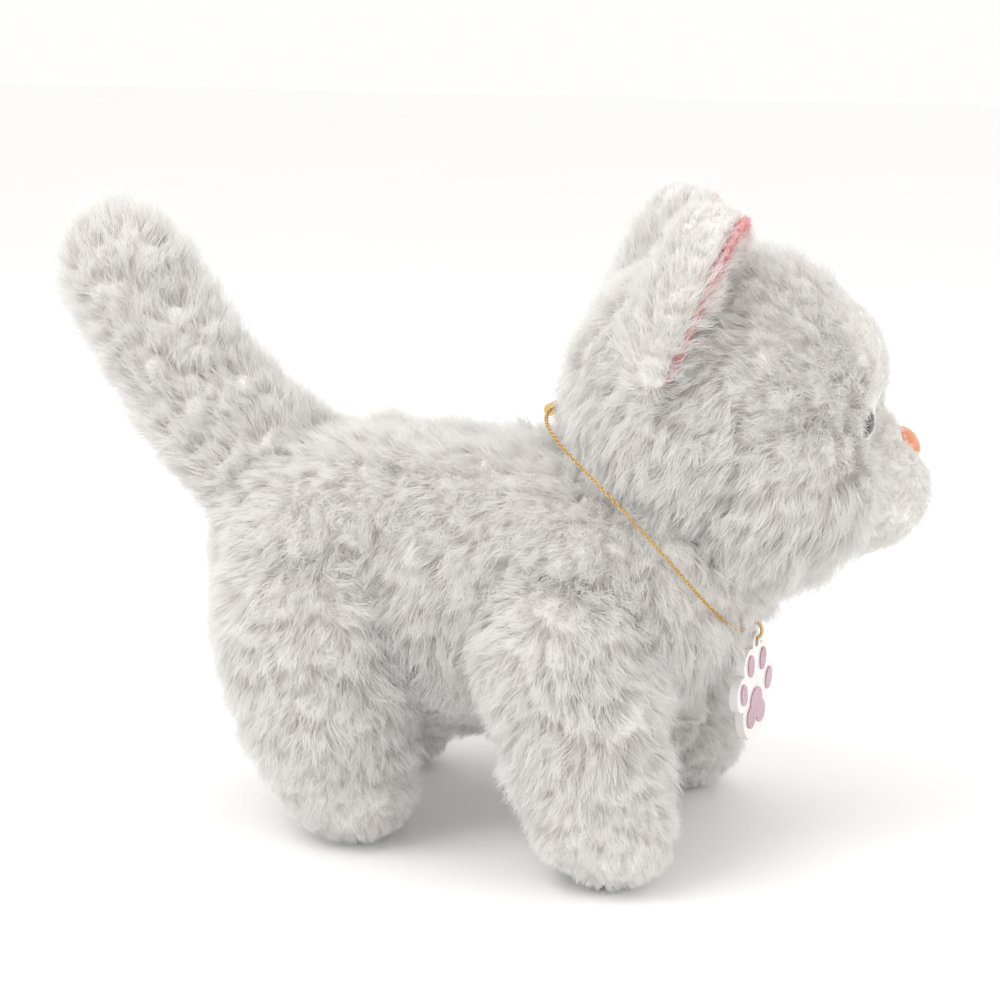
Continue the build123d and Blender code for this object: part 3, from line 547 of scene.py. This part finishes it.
def dress(obj, body, node, flow, length, seed, height=2.4, tuft=6.2, lift=1.0):
    """Gives a pelt its relief, cloth, pile and place in the frame."""
    coat = Coat(obj, flow, length, seed, tuft=tuft, lift=lift)
    coat.sculpt(height)
    obj.data.materials.clear()
    obj.data.materials.append(CLOTH)
    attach(obj, body)
    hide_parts(node)
    coat.strands(obj.name + "_pile", body, PILE)


def torso():
    balls = []
    for side in (-1, 1):
        y = 7 * side
        balls += run((-38, y * 0.6, 74, 33), (-30, y, 75, 33), 3) + run((-30, y, 75, 33), (44, y, 74, 33), 12)
        balls += run((40, y, 68, 32), (54, y * 0.6, 80, 30), 6) + run((54, 0, 82, 30), (58, 0, 98, 27), 4)
        balls += run((-26, y * 0.6, 63, 32), (36, y * 0.6, 63, 32), 9)
        balls += run((-35, side * 19, 74, 26), (-24, side * 13, 80, 26), 4)
        balls += run((41, side * 20, 76, 24), (28, side * 14, 80, 25), 4)
    obj = form("torso_pelt", balls)
    for box in (ROOM, OPENING):
        carve(obj, box)
    dress(obj, "root", "torso_plush", torso_flow, torso_length, 11)


def flap_length(p):
    return 5.5 * (p[:, 2] < 31.5)


def belly_flap():
    """A padded flap that closes the opening, hinged at its front edge."""
    balls = [(x, y, 31.6, 3.1) for x in np.arange(-16, 47, 2.2) for y in np.arange(-8, 8.1, 2.0)]
    obj = form("belly_flap_pelt", balls, soften=4)
    dress(obj, "belly_flap", "belly_flap", toward(-1, 0, -0.1), flap_length, 61, height=1.0, tuft=4)


LEGS = {
    "right_front": (40, -34, 21.5, 0.86, 52, -43), "left_front": (40, 34, 21.5, 0.86, 50, 43),
    "right_hind": (-35, -29, 25, 0.9, -26, -33), "left_hind": (-35, 29, 25, 0.9, -37, 33),
}


def legs():
    for seed, (leg, (hip_x, hip_y, hip_r, taper, foot_x, foot_y)) in enumerate(LEGS.items()):
        knee = ((hip_x + foot_x) / 2, (hip_y + foot_y) / 2, 41, hip_r * taper)
        hip, ankle = (hip_x, hip_y, 62, hip_r), (foot_x - 1, foot_y, 19, 15.5)
        balls = run(hip, knee) + run(knee, ankle)
        toe = (foot_x + 4, foot_y, 14.5, 13.6)
        balls += run(ankle, toe, 4)
        obj = form(leg + "_leg_pelt", balls)
        carve(obj, BETWEEN_LEGS)
        flatten(obj, 0.4)
        name = leg + "_leg"
        dress(obj, name, name + "_plush", leg_flow(foot_x), leg_length, 30 + 10 * seed)


def flatten(obj, floor):
    """The sole is flat where it stands."""
    for v in obj.data.vertices:
        v.co.z = max(v.co.z, floor * MM)


def tail():
    a, b, c = TAIL_PATH
    balls = run((*a, 17), (*b, 15.5), 12) + run((*b, 15.5), (*c, 14), 12)
    obj = form("tail_pelt", balls)
    carve(obj, TAIL_NOTCH)
    dress(obj, "tail", "tail_plush", tail_flow, lambda p: 8.2 * ~inside(p, TAIL_NOTCH), 81, lift=1.1)


def head():
    """A round skull with full cheeks and jowls, a brow that overhangs the eyes, and the muzzle."""
    balls = [(0, 0, 0, 40.5)]
    for side in (-1, 1):
        balls += run((10, side * 21, -12, 21.5), (17, side * 17, -18, 19.5), 5)
        balls += run((6, side * 15, -25, 20), (14, side * 9, -27, 18), 4)
        balls += run((22, side * 9, 12, 19), (27, side * 4, 9, 15.5), 4)
        eye, outward = (Vector((v[0], side * v[1], v[2])) for v in (EYE_AT, EYE_OUT))
        socket = eye - outward * 9.6
        balls.append((*socket, 9.2))
    balls += run((28.5, 0, 1, 12.5), (35, 0, -15, 12.5), 5)
    dress(form("head_pelt", balls, HEAD, soften=7), "head", "head_plush", head_flow, head_length, 91)
    balls = run((39.5, -4.5, -23.5, 15.5), (39.5, 4.5, -23.5, 15.5), 5)
    balls += run((38, 0, -14, 12), (43, 0, -19, 11), 4)
    balls += [(36, 0, -27, 14.5), (31, 0, -29, 14)]
    muzzle = form("muzzle_pelt", balls, HEAD, soften=12)
    dress(muzzle, "head", "muzzle_plush", muzzle_flow, muzzle_length, 101,
          height=0.8, tuft=2.5, lift=0.8)


# ---------------------------------------------------------------- ears
EAR_AT, EAR_UP, EAR_ACROSS = (-7.0, 27.0, 32.5), (0.34, 0.30, 0.89), (0.22, -0.93, 0.23)
LINING_SHARE = 0.93             # width of the lining against the ear's


def ear_frame(side):
    """Origin, across, up and front of an ear, in the head's own coordinates."""
    flip = np.array([1, side, 1])
    up = unit(np.array(EAR_UP) * flip)
    across = np.array(EAR_ACROSS) * flip
    across = unit(across - up * (across @ up))
    front = np.cross(across, up)
    front *= np.sign(front[0])
    turn = math.radians(11)
    turned = across * math.cos(turn) + front * math.sin(turn)
    front = front * math.cos(turn) - across * math.sin(turn)
    return np.array(EAR_AT) * flip, turned, up, front


def ear_half_width(v):
    """Half the width of the ear at a height v from 0 at the root to 1 at the tip."""
    return 21.0 * math.sqrt(max(0.0, 1 - v ** 2.3)) * (1 - 0.12 * v)


def ear_sunk(x, v):
    """How deep the cupped front of the ear lies, at x from its middle and a height v."""
    return 5.0 * (1 - (x / 21.0) ** 2) * (1 - 0.4 * v)


def head_way(way):
    """One direction of the head, the same everywhere."""
    return lambda p: np.tile(out_of_head(way), (len(p), 1))


def ears():
    for side, name in ((-1, "right_ear"), (1, "left_ear")):
        at, across, up, front = ear_frame(side)

        def cup(u, v):
            x = (2 * u - 1) * ear_half_width(min(v, 0.999)) * LINING_SHARE
            y = -20 + 44.0 * v * (0.5 + 0.5 * LINING_SHARE)
            p = at + across * x + up * y + front * (1.4 - ear_sunk(x, v))
            return tuple(HEAD @ Vector(p))

        lining = mesh_object(name + "_velour", *grid(cup, 17, 24))
        thicken(lining, 1.0)
        coat = Coat(lining, head_way(up), lambda p: np.full(len(p), 2.0), 140 + side, tuft=2.5)
        coat.sculpt(0.5)
        lining.data.materials.append(VELOUR)
        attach(lining, "head")
        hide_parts(name + "_lining")
        coat.strands(lining.name + "_pile", "head", PINK_PILE, thick=0.07)
        balls = []
        for v in np.linspace(0.05, 0.93, 12):
            half = ear_half_width(v)
            for u in np.linspace(-1, 1, 9):
                x = u * max(half - 3.2, 0.1)
                y = -20 + 41.0 * v
                p = at + across * x + up * y + front * (-3.4 - ear_sunk(x, v))
                balls.append((*p, 3.4))
                balls.append((*(np.array(p) - front * 4.5 * (1 - abs(u)) - up * 1.5), 4.2))
        back = form(name + "_pelt", balls, HEAD, soften=8)

        def ear_length(p):
            height = (in_head(p) - at) @ up
            return 7.5 - 4.0 * np.clip((height - 4) / 16, 0, 1)

        flow = head_way(up - front * 0.2)
        dress(back, "head", name + "_back", flow, ear_length, 120 + side, height=1.5, tuft=3.5)


def thicken(obj, thickness):
    shell = obj.modifiers.new("thickness", "SOLIDIFY")
    shell.thickness = thickness * MM
    divide = obj.modifiers.new("round", "SUBSURF")
    divide.levels = divide.render_levels = 1
    bake(obj)


# ---------------------------------------------------------------- nose and necklace
def nose():
    """Rounded triangle, flocked, with a groove down its middle."""
    outward = unit(np.array([51.0, 0, -10.6]) - np.array([36.5, 0, -21.0]))
    side = np.array([0, 1.0, 0])
    up = np.cross(outward, side)
    up *= np.sign(up[2])
    base = np.array([36.5, 0, -21.0]) + outward * 15.7

    def skin(u, v):
        angle = 2 * math.pi * u
        reach = (1 + 0.16 * math.cos(3 * (angle - math.pi / 2) + math.pi)) * math.sin(v * math.pi / 2)
        x, y = 5.6 * reach * math.cos(angle), 4.7 * reach * math.sin(angle)
        rise = 4.2 * math.cos(v * math.pi / 2) ** 0.8
        rise -= 0.5 * math.exp(-(x / 0.6) ** 2) * (y < 1)
        return tuple(HEAD @ Vector(base + side * x + up * y + outward * rise))

    verts, faces = grid(skin, 48, 14, closed=True)
    obj = mesh_object("nose_pad", verts, faces)
    obj.data.materials.append(NOSE_FINISH)
    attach(obj, "head")
    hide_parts("nose")


LINK_SIDES, WIRE_SIDES = 12, 6


def ring(bm, middle, lengthwise, normal, radius, stretch, wire):
    """One wire link, oval along its chain."""
    across = unit(np.cross(normal, lengthwise))
    loop = []
    for i in range(LINK_SIDES):
        a = 2 * math.pi * i / LINK_SIDES
        centre = middle + lengthwise * math.cos(a) * radius * stretch + across * math.sin(a) * radius
        out = unit(lengthwise * math.cos(a) / stretch + across * math.sin(a))
        loop.append([bm.verts.new(Vector((centre + (out * math.cos(b) + normal * math.sin(b)) * wire) * MM))
                     for b in np.linspace(0, 2 * math.pi, WIRE_SIDES, endpoint=False)])
    for i in range(LINK_SIDES):
        for k in range(WIRE_SIDES):
            j, m = (i + 1) % LINK_SIDES, (k + 1) % WIRE_SIDES
            bm.faces.new((loop[i][k], loop[j][k], loop[j][m], loop[i][m]))


def necklace():
    forward = unit(CHAIN_FRONT - CHAIN_BACK)
    side = np.array([0, 1.0, 0])
    bm = bmesh.new()
    links = 210
    for i in range(links):
        a = 2 * math.pi * (i + 0.5) / links
        spot = CHAIN_MIDDLE + (forward * math.cos(a) + side * math.sin(a)) * CHAIN_R
        spot = spot + CHAIN_NORMAL * CHAIN_BOW * math.sin(a) ** 2
        tangent = (side * math.cos(a) - forward * math.sin(a)) * CHAIN_R
        tangent = unit(tangent + CHAIN_NORMAL * CHAIN_BOW * math.sin(2 * a))
        outward = unit(spot - CHAIN_MIDDLE)
        tilt = math.radians(45 + 90 * (i % 2))
        normal = outward * math.cos(tilt) + CHAIN_NORMAL * math.sin(tilt)
        ring(bm, spot, tangent, normal, 0.46, 1.75, 0.19)
    mesh = bpy.data.meshes.new("necklace_links")
    bm.normal_update()
    bm.to_mesh(mesh)
    bm.free()
    mesh.shade_smooth()
    obj = bpy.data.objects.new("necklace_links", mesh)
    bpy.context.scene.collection.objects.link(obj)
    mesh.materials.append(GOLD)
    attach(obj, "root")
    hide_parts("necklace_chain")


# ---------------------------------------------------------------- carried-over CAD pieces
def eye_glass():
    """Black glass mottled with a deep teal depth, seen under a clear coat."""
    material, tree, shader = nodes_of("eye_glass")
    colours = ramp(tree, noise(tree, 260, 3), [(0.35, (0.004, 0.010, 0.012)), (0.75, (0.010, 0.040, 0.045))])
    tree.links.new(colours, shader.inputs["Base Color"])
    shader.inputs["Roughness"].default_value = 0.12
    shader.inputs["Coat Weight"].default_value = 1.0
    shader.inputs["Coat Roughness"].default_value = 0.02
    return material


def repaint():
    """Every piece carried over from the CAD model gets the finish of its material slot."""
    looks = {
        "case_plastic": dict(colour=(0.80, 0.80, 0.78), rough=0.5, grain=(2500, 0.03),
                             bump=0.25, depth=0.00005),
        "gear_plastic": dict(colour=(0.90, 0.89, 0.82), rough=0.38, grain=(1800, 0.04), bump=0.12,
                             depth=0.00005, Subsurface_Weight=0.15),
        "black_plastic": dict(colour=(0.045, 0.045, 0.05), rough=0.45, grain=(2500, 0.15), bump=0.3,
                              depth=0.00005),
        "screw_steel": dict(colour=(0.55, 0.55, 0.57), rough=0.3, grain=(1600, 0.12), bump=0.2,
                            depth=0.00004, stretch=(1, 1, 6), Metallic=1.0),
        "can_steel": dict(colour=(0.68, 0.68, 0.68), rough=0.22, grain=(700, 0.08), bump=0.15,
                          depth=0.00004, stretch=(8, 1, 1), Metallic=1.0),
        "cell_wrap": dict(colour=(0.10, 0.20, 0.30), rough=0.3, grain=(500, 0.1), bump=0.08, Coat_Weight=0.5),
        "contact_steel": dict(colour=(0.74, 0.72, 0.68), rough=0.25, grain=(900, 0.1),
                              bump=0.1, Metallic=1.0),
        "board_green": dict(colour=(0.03, 0.20, 0.09), rough=0.35, grain=(900, 0.25),
                            bump=0.2, Coat_Weight=0.4),
        "wire_red": dict(colour=(0.55, 0.05, 0.05), rough=0.42, grain=(900, 0.1), bump=0.1),
        "dome_rubber": dict(colour=(0.33, 0.34, 0.36), rough=0.7, grain=(1800, 0.08), bump=0.2),
        "tag_white": dict(colour=(0.90, 0.87, 0.86), rough=0.22, grain=(260, 0.03),
                          bump=0.03, Coat_Weight=0.6),
        "tag_mauve": dict(colour=(0.50, 0.29, 0.37), rough=0.28, grain=(700, 0.16),
                          bump=0.1, Coat_Weight=0.5),
        "hook_fabric": dict(colour=(0.86, 0.86, 0.86), rough=0.85, grain=(2600, 0.12),
                            bump=0.8, depth=0.0004),
    }
    finishes = {name: finish(name, **look) for name, look in looks.items()}
    finishes.update(eye_black=eye_glass(), nose_coral=NOSE_FINISH, gold_metal=GOLD,
                    white_plush=CLOTH, pink_lining=VELOUR)
    for part in RECORD["subparts"]:
        obj = frame["nodes"][part["node"]]
        if not obj.hide_render:
            paint(obj, finishes[part["material_slot"]])


def paint(obj, material):
    """Assigns a finish to every slot of a CAD piece, without touching its mesh."""
    if not obj.material_slots:
        obj.data.materials.append(None)
    for slot in obj.material_slots:
        slot.link = "OBJECT"
        slot.material = material


CLOTH = pelt_cloth("white_pelt", WHITE_HOLLOW_SHADE, WHITE_HIGH)
# the darker pink is painted shade in the hollows of the velour's relief; the lighter pink is its own colour
VELOUR = pelt_cloth("pink_velour", (0.74, 0.34, 0.36), (0.86, 0.45, 0.46), sheen=0.5)
# the first colour of each pile is painted shade at the strands' roots; the second is the strands' own colour
PILE = pile("white_pile", (0.80, 0.775, 0.75), (0.965, 0.96, 0.95))
PINK_PILE = pile("pink_pile", (0.76, 0.36, 0.38), (0.88, 0.50, 0.51))
NOSE_FINISH = finish("nose_flock", (0.80, 0.29, 0.13), 0.55, grain=(2200, 0.10), bump=0.35, depth=0.0001,
                     Sheen_Weight=0.4)
GOLD = finish("gold_plate", (0.70, 0.47, 0.17), 0.24, grain=(600, 0.06), bump=0.05, Metallic=1.0)

camera()
studio()
torso()
belly_flap()
legs()
tail()
head()
ears()
nose()
necklace()
repaint()
